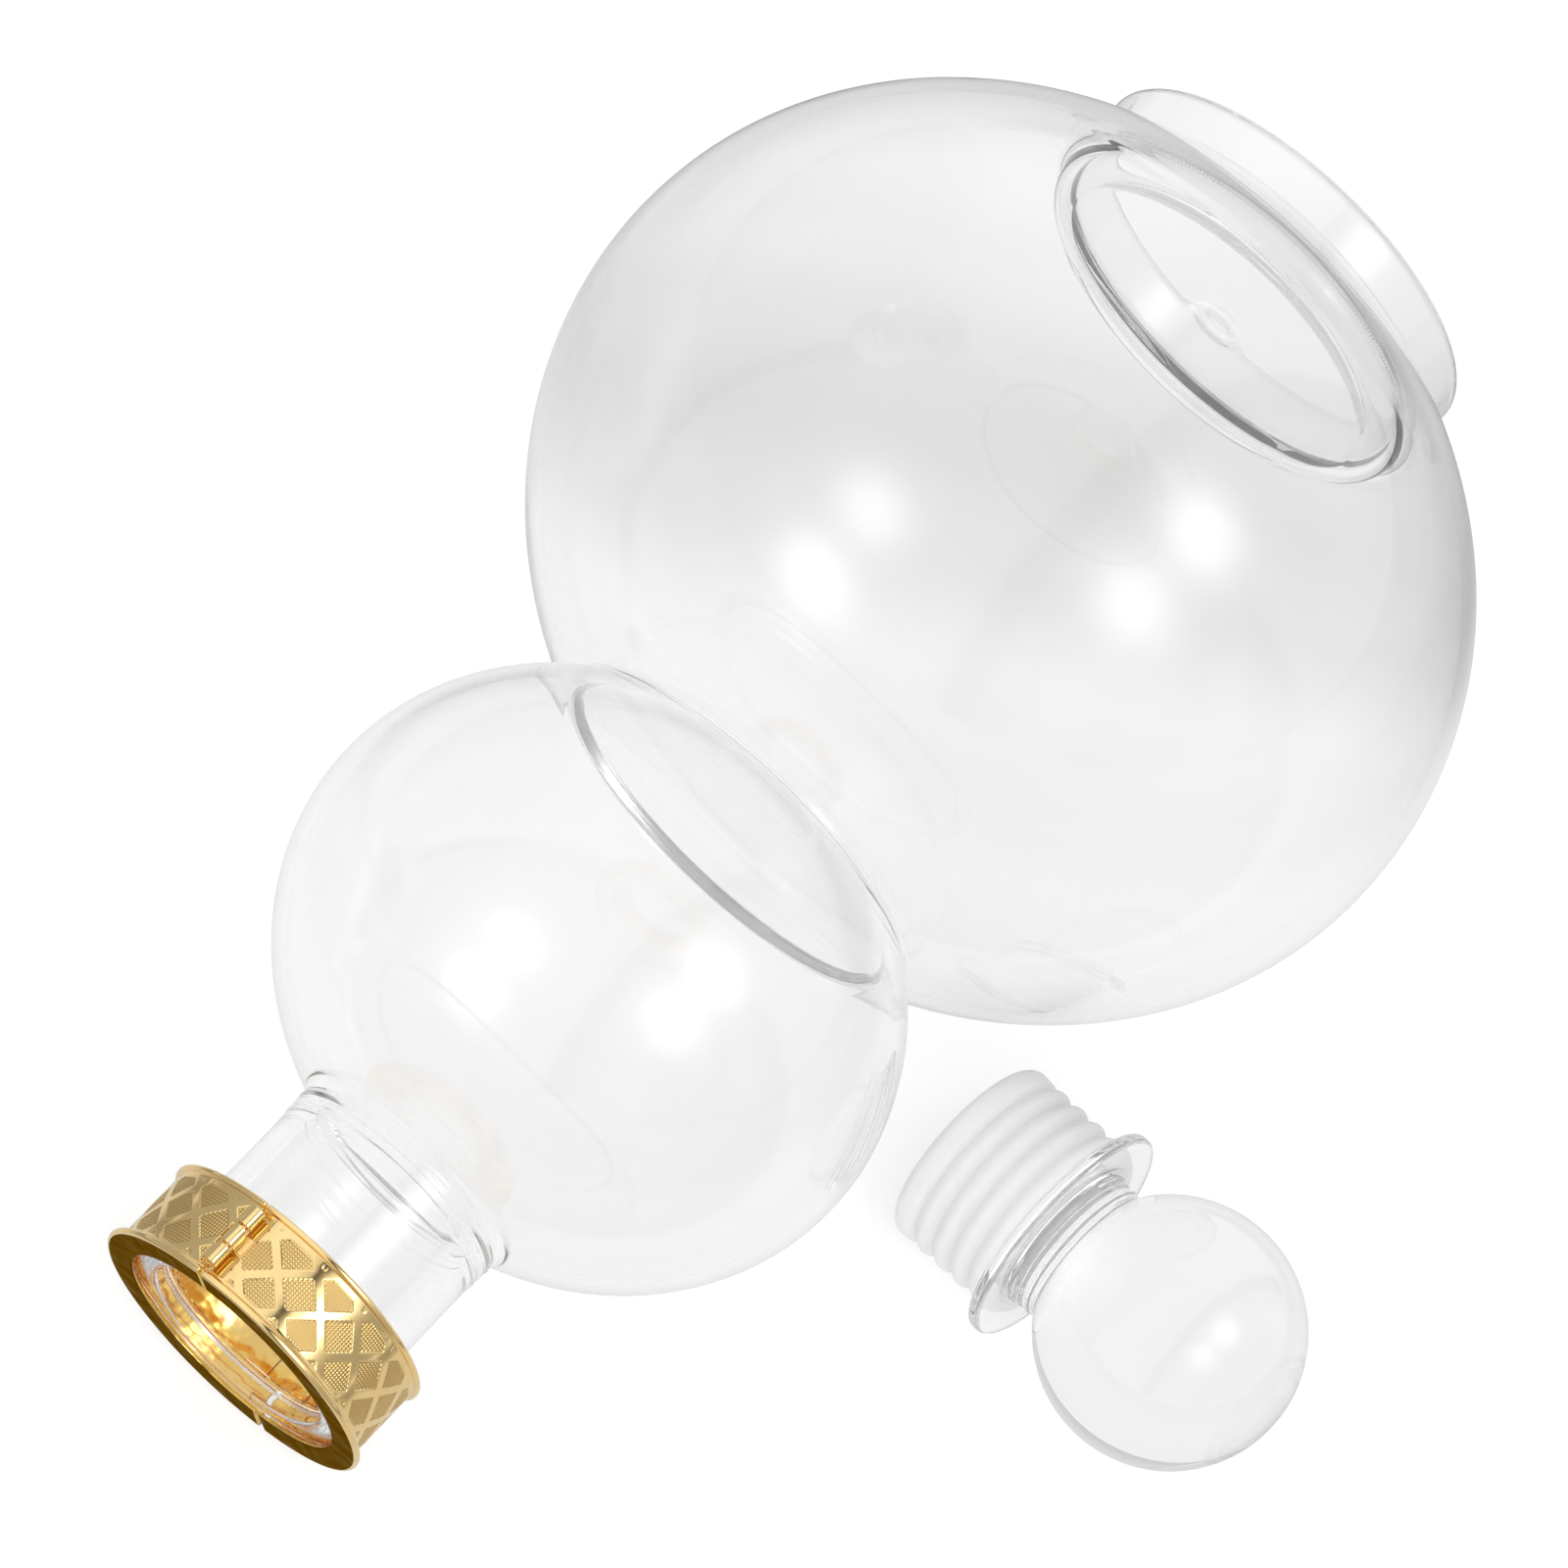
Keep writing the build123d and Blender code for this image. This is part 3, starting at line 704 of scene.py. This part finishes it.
def knuckle(pile, low, side):
    """One rolled knuckle, from a height on, with the leaves that carry it on one side of the hinge line."""
    high = low + KNUCKLE_LENGTH
    bore = KNUCKLE_R - KNUCKLE_WALL
    rim, inner_rim = KNUCKLE_R - KNUCKLE_ROUND, bore + KNUCKLE_BORE_ROUND
    barrel = KNUCKLE_R - KNUCKLE_HOLLOW
    points, faces = turned(np.concatenate([
        arc((rim, high - KNUCKLE_ROUND), KNUCKLE_ROUND, 90, 0, 5),
        line((barrel, high - KNUCKLE_LAND), (barrel, low + KNUCKLE_LAND), 3),
        arc((rim, low + KNUCKLE_ROUND), KNUCKLE_ROUND, 0, -90, 5),
        arc((inner_rim, low + KNUCKLE_BORE_ROUND), KNUCKLE_BORE_ROUND, -90, -180, 4),
        arc((inner_rim, high - KNUCKLE_BORE_ROUND), KNUCKLE_BORE_ROUND, 180, 90, 4),
    ]), KNUCKLE_SEGMENTS)
    pile.add(points + [HINGE_R, 0, 0], faces)
    for from_r, to_r, reach, inset, edge_round in LEAVES:
        near, far = sorted((side * bore, side * reach))
        points, faces = bevelled_block((from_r, near, low + inset), (to_r, far, high - inset), edge_round)
        pile.add(points, faces)


def collar_half(name, start, end, own, side):
    """Half of the collar between two angles, with its own knuckles and windows for the other half's."""
    pile = Pile()
    collar_band(pile, start, end, [low for low in KNUCKLES if low not in own])
    for low in own:
        knuckle(pile, low, side)
    return pile.piece(name, BOTTLE_FRAME, [COLLAR_GOLD, INNER_GOLD, FLANGE_PAINTED_SHADE_GOLD])


def pin_mesh():
    """Pin with domed ends, in the knuckles."""
    points, faces = turned(np.concatenate([
        [(0, KNUCKLES_HIGH)],
        arc((PIN_R - PIN_ROUND, KNUCKLES_HIGH - PIN_ROUND), PIN_ROUND, 90, 0, 6),
        arc((PIN_R - PIN_ROUND, KNUCKLES_LOW + PIN_ROUND), PIN_ROUND, 0, -90, 6),
        [(0, KNUCKLES_LOW)],
    ]), PIN_SEGMENTS)
    return points + [HINGE_R, 0, 0], faces


def tongue_mesh():
    """Curved spring tongue with round edges, behind the opening of the collar."""
    start = pi - (OPENING_GAP / 2 + TONGUE_REACH_BACK) / CHANNEL_R
    end = pi + (OPENING_GAP / 2 + TONGUE_REACH_ON) / CHANNEL_R
    middle = (COLLAR_FRONT + COLLAR_REAR) / 2
    outer, inner = TONGUE_OUTER_R - TONGUE_ROUND, TONGUE_INNER_R + TONGUE_ROUND
    top, bottom = middle + TONGUE_HALF - TONGUE_ROUND, middle - TONGUE_HALF + TONGUE_ROUND
    radii, heights = np.concatenate([
        arc((outer, top), TONGUE_ROUND, 90, 0, 5),
        arc((outer, bottom), TONGUE_ROUND, 0, -90, 5),
        arc((inner, bottom), TONGUE_ROUND, -90, -180, 5),
        arc((inner, top), TONGUE_ROUND, 180, 90, 5),
    ]).T
    angles = np.linspace(start, end, TONGUE_STEPS)
    full = np.clip(np.minimum(angles - start, end - angles) / TONGUE_TAPER, 0, 1) ** 0.5
    width = TONGUE_END_SHARE + (1 - TONGUE_END_SHARE) * full
    points = [on_cylinder(radii, a, middle + (heights - middle) * w) for a, w in zip(angles, width)]
    count = len(radii)
    here = np.arange(count)
    after = np.roll(here, -1)
    ring = np.c_[here, after, after + count, here + count]
    faces = [face for step in range(TONGUE_STEPS - 1) for face in (ring + step * count).tolist()]
    faces += [here[::-1].tolist(), (here + (TONGUE_STEPS - 1) * count).tolist()]
    return np.concatenate(points), faces


fixed_half = collar_half("collar_half_with_two_knuckles", HINGE_EDGE, pi - OPENING_EDGE, KNUCKLES[::2], 1)
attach(fixed_half, "collar")
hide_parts("collar_fixed_half")

swing_half = collar_half("collar_half_with_one_knuckle", OPENING_EDGE - pi, -HINGE_EDGE, KNUCKLES[1:2], -1)
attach(swing_half, "collar_gate")
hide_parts("collar_swing_half")

pin_points, pin_faces = pin_mesh()
pin = mesh_object("domed_pin", placed(pin_points, BOTTLE_FRAME), pin_faces, PIN_GOLD)
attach(pin, "collar")
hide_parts("hinge_pin")

tongue_points, tongue_faces = tongue_mesh()
tongue = mesh_object("curved_tongue", placed(tongue_points, BOTTLE_FRAME), tongue_faces, INNER_GOLD)
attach(tongue, "collar_gate")
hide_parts("clasp_tongue")


# Stopper

STOPPER_AXIS = stopper_axis()
STOPPER_SIDE = Vector((0, 0, 1)).cross(STOPPER_AXIS).normalized()
STOPPER_FRAME = frame_matrix(BALL, STOPPER_AXIS, STOPPER_SIDE)
STOPPER_SEGMENTS = 192
FLANGE_TOP = -BALL_TO_FLANGE + FLANGE_THICKNESS / 2
FLANGE_UNDER = -BALL_TO_FLANGE - FLANGE_THICKNESS / 2
# Stem: thicker where it meets the ball, ripples, end above the flange, and fillet there
STEM_TOP_R = STEM_R + 0.0002
STEM_RIPPLE, STEM_RIPPLES, STEM_END, STEM_FILLET = 0.00009, 3, 0.0010, 0.0012
# Flange: edge round, and where its flat faces start and stop
FLANGE_ROUND, FLAT_FROM, FLAT_TO = 0.0005, 0.0020, 0.0010
# Peg: fillet at the flange, round end, and how much shorter it is than the sleeve
PEG_FILLET, PEG_ROUND, PEG_STEP, PEG_SHORTER = 0.0004, 0.0010, 0.0002, 0.0008
# Ball: share of its radius below which the glass is that of the stem
BALL_SHARE = 0.80
# Sleeve: clearances to peg and flange, shape of the ribs and the tip, and step between points
SEAL_BORE_GAP, SEAL_TOP_GAP, SEAL_BORE_ROUND, SEAL_STEP = 0.00004, 0.00002, 0.0004, 0.0001
RIB_POWER = 0.6
TIP_ROUND = TIP_LENGTH * 0.44


def stopper_section():
    """Profile of the solid glass from the top of the ball to the end of the peg."""
    stem_start = sqrt(BALL_R ** 2 - STEM_TOP_R ** 2)
    ball_end = -degrees(asin(stem_start / BALL_R))
    heights = np.linspace(-stem_start, FLANGE_TOP + STEM_END, 60)
    turn = (heights + stem_start) / (stem_start + FLANGE_TOP) * STEM_RIPPLES
    stem = np.c_[STEM_TOP_R + STEM_RIPPLE * np.cos(2 * pi * turn), heights]
    end = FLANGE_UNDER - SEAL_LENGTH + PEG_SHORTER
    return np.concatenate([
        [(0, BALL_R)],
        arc((0, 0), BALL_R, 89.5, ball_end + 1.5, 150),
        stem[1:],
        arc((STEM_R + STEM_FILLET, FLANGE_TOP + STEM_FILLET), STEM_FILLET, 185, 270, 10),
        line((STEM_R + FLAT_FROM, FLANGE_TOP), (FLANGE_R - FLAT_TO, FLANGE_TOP), 4),
        arc((FLANGE_R - FLANGE_ROUND, FLANGE_TOP - FLANGE_ROUND), FLANGE_ROUND, 90, 0, 8),
        arc((FLANGE_R - FLANGE_ROUND, FLANGE_UNDER + FLANGE_ROUND), FLANGE_ROUND, 0, -90, 8),
        line((FLANGE_R - FLAT_TO, FLANGE_UNDER), (PEG_R + PEG_FILLET, FLANGE_UNDER), 4),
        arc((PEG_R + PEG_FILLET, FLANGE_UNDER - PEG_FILLET), PEG_FILLET, 90, 180, 5),
        line((PEG_R, FLANGE_UNDER - PEG_ROUND), (PEG_R, end + PEG_ROUND + PEG_STEP), 10),
        arc((PEG_R - PEG_ROUND, end + PEG_ROUND), PEG_ROUND, 0, -90, 8),
        [(0, end)],
    ])


def seal_section():
    """Profile of the sleeve: soft ribs, a blunt rounded tip and the bore."""
    bore = PEG_R + SEAL_BORE_GAP
    end = FLANGE_UNDER - SEAL_LENGTH
    top = FLANGE_UNDER - SEAL_TOP_GAP
    tip_top = end + TIP_LENGTH
    valley = RIB_R - RIB_HEIGHT
    tip_start = (RIB_R - SEAL_STEP, tip_top - 5 * SEAL_STEP)
    pitch = (SEAL_LENGTH - TIP_LENGTH) / RIB_COUNT
    heights = np.linspace(top - 2 * SEAL_STEP, tip_top, 130)
    wave = 0.5 + 0.5 * np.cos((top - heights) / pitch * 2 * pi - pi)
    return np.concatenate([
        [(bore, top), (valley - SEAL_STEP, top)],
        np.c_[RIB_R - RIB_HEIGHT * (1 - wave ** RIB_POWER), heights],
        line((valley + 2 * SEAL_STEP, tip_top - SEAL_STEP), tip_start, 4),
        arc((RIB_R - TIP_ROUND, end + TIP_ROUND), TIP_ROUND, 0, -90, 16),
        arc((bore + SEAL_BORE_ROUND, end + SEAL_BORE_ROUND), SEAL_BORE_ROUND, -90, -180, 6),
    ])


stopper_points, stopper_faces = turned(stopper_section(), STOPPER_SEGMENTS)
on_ball = [int(stopper_points[f[0]][2] > -BALL_R * BALL_SHARE) for f in stopper_faces]
stopper = mesh_object("ball_stopper", placed(stopper_points, STOPPER_FRAME), stopper_faces,
                      [STOPPER_GLASS, BALL_GLASS], slots=on_ball)
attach(stopper, "stopper")
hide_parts("glass_stopper")

seal = lathe("ribbed_sleeve", seal_section(), STOPPER_FRAME, SEAL, STOPPER_SEGMENTS)
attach(seal, "stopper")
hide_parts("stopper_seal")


# Floor

FLOOR_HALF = 4.0
# Paper as the camera sees it, as albedo and glow, and the albedo that mirrors and glass show
PAPER_ALBEDO, PAPER_GLOW, SHOWN_ALBEDO = 0.42, 0.62, 0.30
# Painted glow through glass, darker with the distance in metres from the middle so that the glass shows
# painted grey shade: near and far value, and where it goes over
THROUGH_NEAR, THROUGH_FAR, THROUGH_FROM, THROUGH_TO = 0.125, -0.30, 0.13, 0.42
# Painted shade and glow added to it, by the distance in metres along two directions on the floor: a dark
# band that shows as painted dark reflections in the glass, and a brighter side
SHADE_BAND_WAY, SHADE_BAND_LIMITS = (-0.832, -0.555, 0.0), (0.0, 0.2)
PAINTED_SHADE_BAND = ((0.0, 0.205), (0.060, 0.205), (0.080, 0.05), (0.096, 0.0), (0.110, 0.03), (0.128, 0.12),
              (0.150, 0.205))
SIDE_WAY, SIDE_LIMITS = (-0.636, 0.771, 0.0), (0.0, 0.4)
PAINTED_SIDE_GLOW = ((0.0, 0.32), (0.07, 0.32), (0.13, 0.13), (0.20, 0.0))
# Painted glow in mirrors, by the distance in metres from the middle, with a dark ring that paints dark
# reflections on the collar
MIRROR_LIMITS = (0.0, 0.6)
PAINTED_MIRROR_GLOW = ((0.0, 0.45), (0.10, 0.40), (0.16, 0.0), (0.26, 0.0), (0.42, 0.35), (0.60, 0.45))


def floor_material():
    """Paper: white to the camera but for the soft shadow; a little grey through glass, with painted shade
    and a dark band, and dim in mirrors, with a painted dark ring.
    """
    material = bpy.data.materials.new("floor_white")
    tree = Tree(material)

    def paper(albedo, glow):
        shade = tree.add("BsdfDiffuse", {"Color": (albedo, albedo, albedo, 1)}).outputs["BSDF"]
        light = tree.add("Emission", {"Strength": glow}).outputs["Emission"]
        return tree.add("AddShader", {0: shade, 1: light}).outputs["Shader"]

    place = tree.add("TexCoord").outputs["Object"]
    distance = tree.add("VectorMath", {0: place}, operation="LENGTH").outputs["Value"]
    painted_fade = tree.add("MapRange", {
        "Value": distance,
        "From Min": THROUGH_FROM,
        "From Max": THROUGH_TO,
        "To Min": THROUGH_NEAR,
        "To Max": THROUGH_FAR,
    }, interpolation_type="SMOOTHSTEP")
    # Painted shade seen only through glass: a fade with distance, a dark band and a brighter side
    painted_through_glow = tree.total([
        painted_fade.outputs["Result"],
        tree.spread(tree.noise(scale=14.0, detail=1.5), -0.05, 0.05),
        tree.ramp(tree.along(place, SHADE_BAND_WAY), SHADE_BAND_LIMITS, PAINTED_SHADE_BAND),
        tree.ramp(tree.along(place, SIDE_WAY), SIDE_LIMITS, PAINTED_SIDE_GLOW),
    ])
    # Painted reflection: dim and dark rings on the floor as mirrors see it
    painted_mirror_tone = tree.ramp(distance, MIRROR_LIMITS, PAINTED_MIRROR_GLOW)
    seen = tree.choice("Is Glossy Ray", paper(PAPER_ALBEDO, PAPER_GLOW), paper(SHOWN_ALBEDO, painted_mirror_tone))
    seen = tree.choice("Is Transmission Ray", seen, paper(SHOWN_ALBEDO, painted_through_glow))
    tree.add("OutputMaterial", {"Surface": seen})
    return material


corners = [(x * FLOOR_HALF, y * FLOOR_HALF, 0) for x, y in ((-1, -1), (1, -1), (1, 1), (-1, 1))]
floor = mesh_object("floor", corners, [(0, 1, 2, 3)], floor_material(), smooth=False)


# World and light

# Brightness of the ceiling across the studio, from the side at -y to the side at +y
CEILING_LIMITS = (-1.0, 1.0)
CEILING = ((-1.0, 0.45), (-0.72, 0.50), (-0.56, 0.95), (-0.3, 1.15), (0.14, 1.10), (0.25, 0.85),
           (0.30, 0.03), (0.37, 0.03), (0.44, 0.60), (0.64, 1.0), (0.80, 0.70), (0.95, 0.45))
# Brightness seen through glass, from the horizon upwards
HORIZON_LIMITS = (0.0, 1.0)
HORIZON = ((0.0, 0.58), (0.30, 0.70), (0.55, 0.82))
FILL_STRENGTH, WHITE_STRENGTH = 0.75, 1.0
# Soft bright patches of the studio: direction in the picture, sharpness and strength
PATCHES = (((0.70, 0.05, 0.71), 55.0, 4.5), ((0.42, -0.28, 0.865), 55.0, 3.5))
# Lamp: direction from the place that it looks at, distance, size in metres and power in watts
LAMP_WAY, LAMP_TARGET = Vector((0.55, 0.35, 0.9)).normalized(), Vector((0, 0, 0.04))
LAMP_DISTANCE, LAMP_SIZE, LAMP_POWER = 2.2, 1.4, 30.0


def view_direction(right, up, back):
    """A direction from its shares along the picture's right and up and towards the camera."""
    return (CAMERA_RIGHT * right + CAMERA_UP * up + CAMERA_BACK * back).normalized()


def make_world():
    """White to the camera, a plain fill light, and greys with soft bright patches in mirrors and glass."""
    world = bpy.data.worlds.new("studio")
    bpy.context.scene.world = world
    tree = Tree(world)
    direction = tree.add("TexCoord").outputs["Generated"]
    parts = tree.add("SeparateXYZ", {"Vector": direction})

    def background(strength):
        return tree.add("Background", {"Color": (1, 1, 1, 1), "Strength": strength}).outputs["Background"]

    def patch(way, sharpness, strength):
        facing = tree.worked_out("MAXIMUM", tree.along(direction, view_direction(*way)), 0.0)
        return tree.worked_out("MULTIPLY", tree.worked_out("POWER", facing, sharpness), strength)

    patches = [patch(*values) for values in PATCHES]
    ceiling = tree.ramp(parts.outputs["Y"], CEILING_LIMITS, CEILING)
    horizon = tree.ramp(parts.outputs["Z"], HORIZON_LIMITS, HORIZON)
    reflected = background(tree.total([ceiling, *patches]))
    refracted = background(tree.total([horizon, *patches]))
    seen = tree.choice("Is Glossy Ray", background(FILL_STRENGTH), reflected)
    seen = tree.choice("Is Transmission Ray", seen, refracted)
    seen = tree.choice("Is Camera Ray", seen, background(WHITE_STRENGTH))
    tree.add("OutputWorld", {"Surface": seen})


def make_lamp():
    """A square soft lamp that gives the shadows and shows in no mirror and no glass."""
    data = bpy.data.lights.new("key", "AREA")
    data.size = LAMP_SIZE
    data.energy = LAMP_POWER
    lamp = bpy.data.objects.new("key", data)
    bpy.context.scene.collection.objects.link(lamp)
    lamp.location = LAMP_TARGET + LAMP_WAY * LAMP_DISTANCE
    lamp.rotation_mode = "QUATERNION"
    lamp.rotation_quaternion = LAMP_WAY.to_track_quat("Z", "Y")
    lamp.visible_glossy = False
    lamp.visible_transmission = False


make_world()
make_lamp()


# Camera and picture

LIGHT_BOUNCES, TRANSPARENT_BOUNCES = 64, 12


def make_camera():
    """The camera of the photograph, placed by where it sees the middle of the large bulb."""
    data = bpy.data.cameras.new("photo_camera")
    data.sensor_width = SENSOR
    data.lens = FOCAL_PIXELS * SENSOR / PHOTO_WIDTH
    data.clip_start, data.clip_end = CLIP_START, CLIP_END
    camera = bpy.data.objects.new("photo_camera", data)
    bpy.context.scene.collection.objects.link(camera)
    right, up, depth = BULB_IN_VIEW
    matrix = Matrix((CAMERA_RIGHT, CAMERA_UP, CAMERA_BACK)).transposed().to_4x4()
    matrix.translation = BULB - CAMERA_RIGHT * right - CAMERA_UP * up + CAMERA_BACK * depth
    camera.matrix_world = matrix
    bpy.context.scene.camera = camera


make_camera()
scene = bpy.context.scene
scene.view_settings.view_transform = "Standard"
scene.cycles.max_bounces = LIGHT_BOUNCES
scene.cycles.transmission_bounces = LIGHT_BOUNCES
scene.cycles.glossy_bounces = LIGHT_BOUNCES
scene.cycles.transparent_max_bounces = TRANSPARENT_BOUNCES
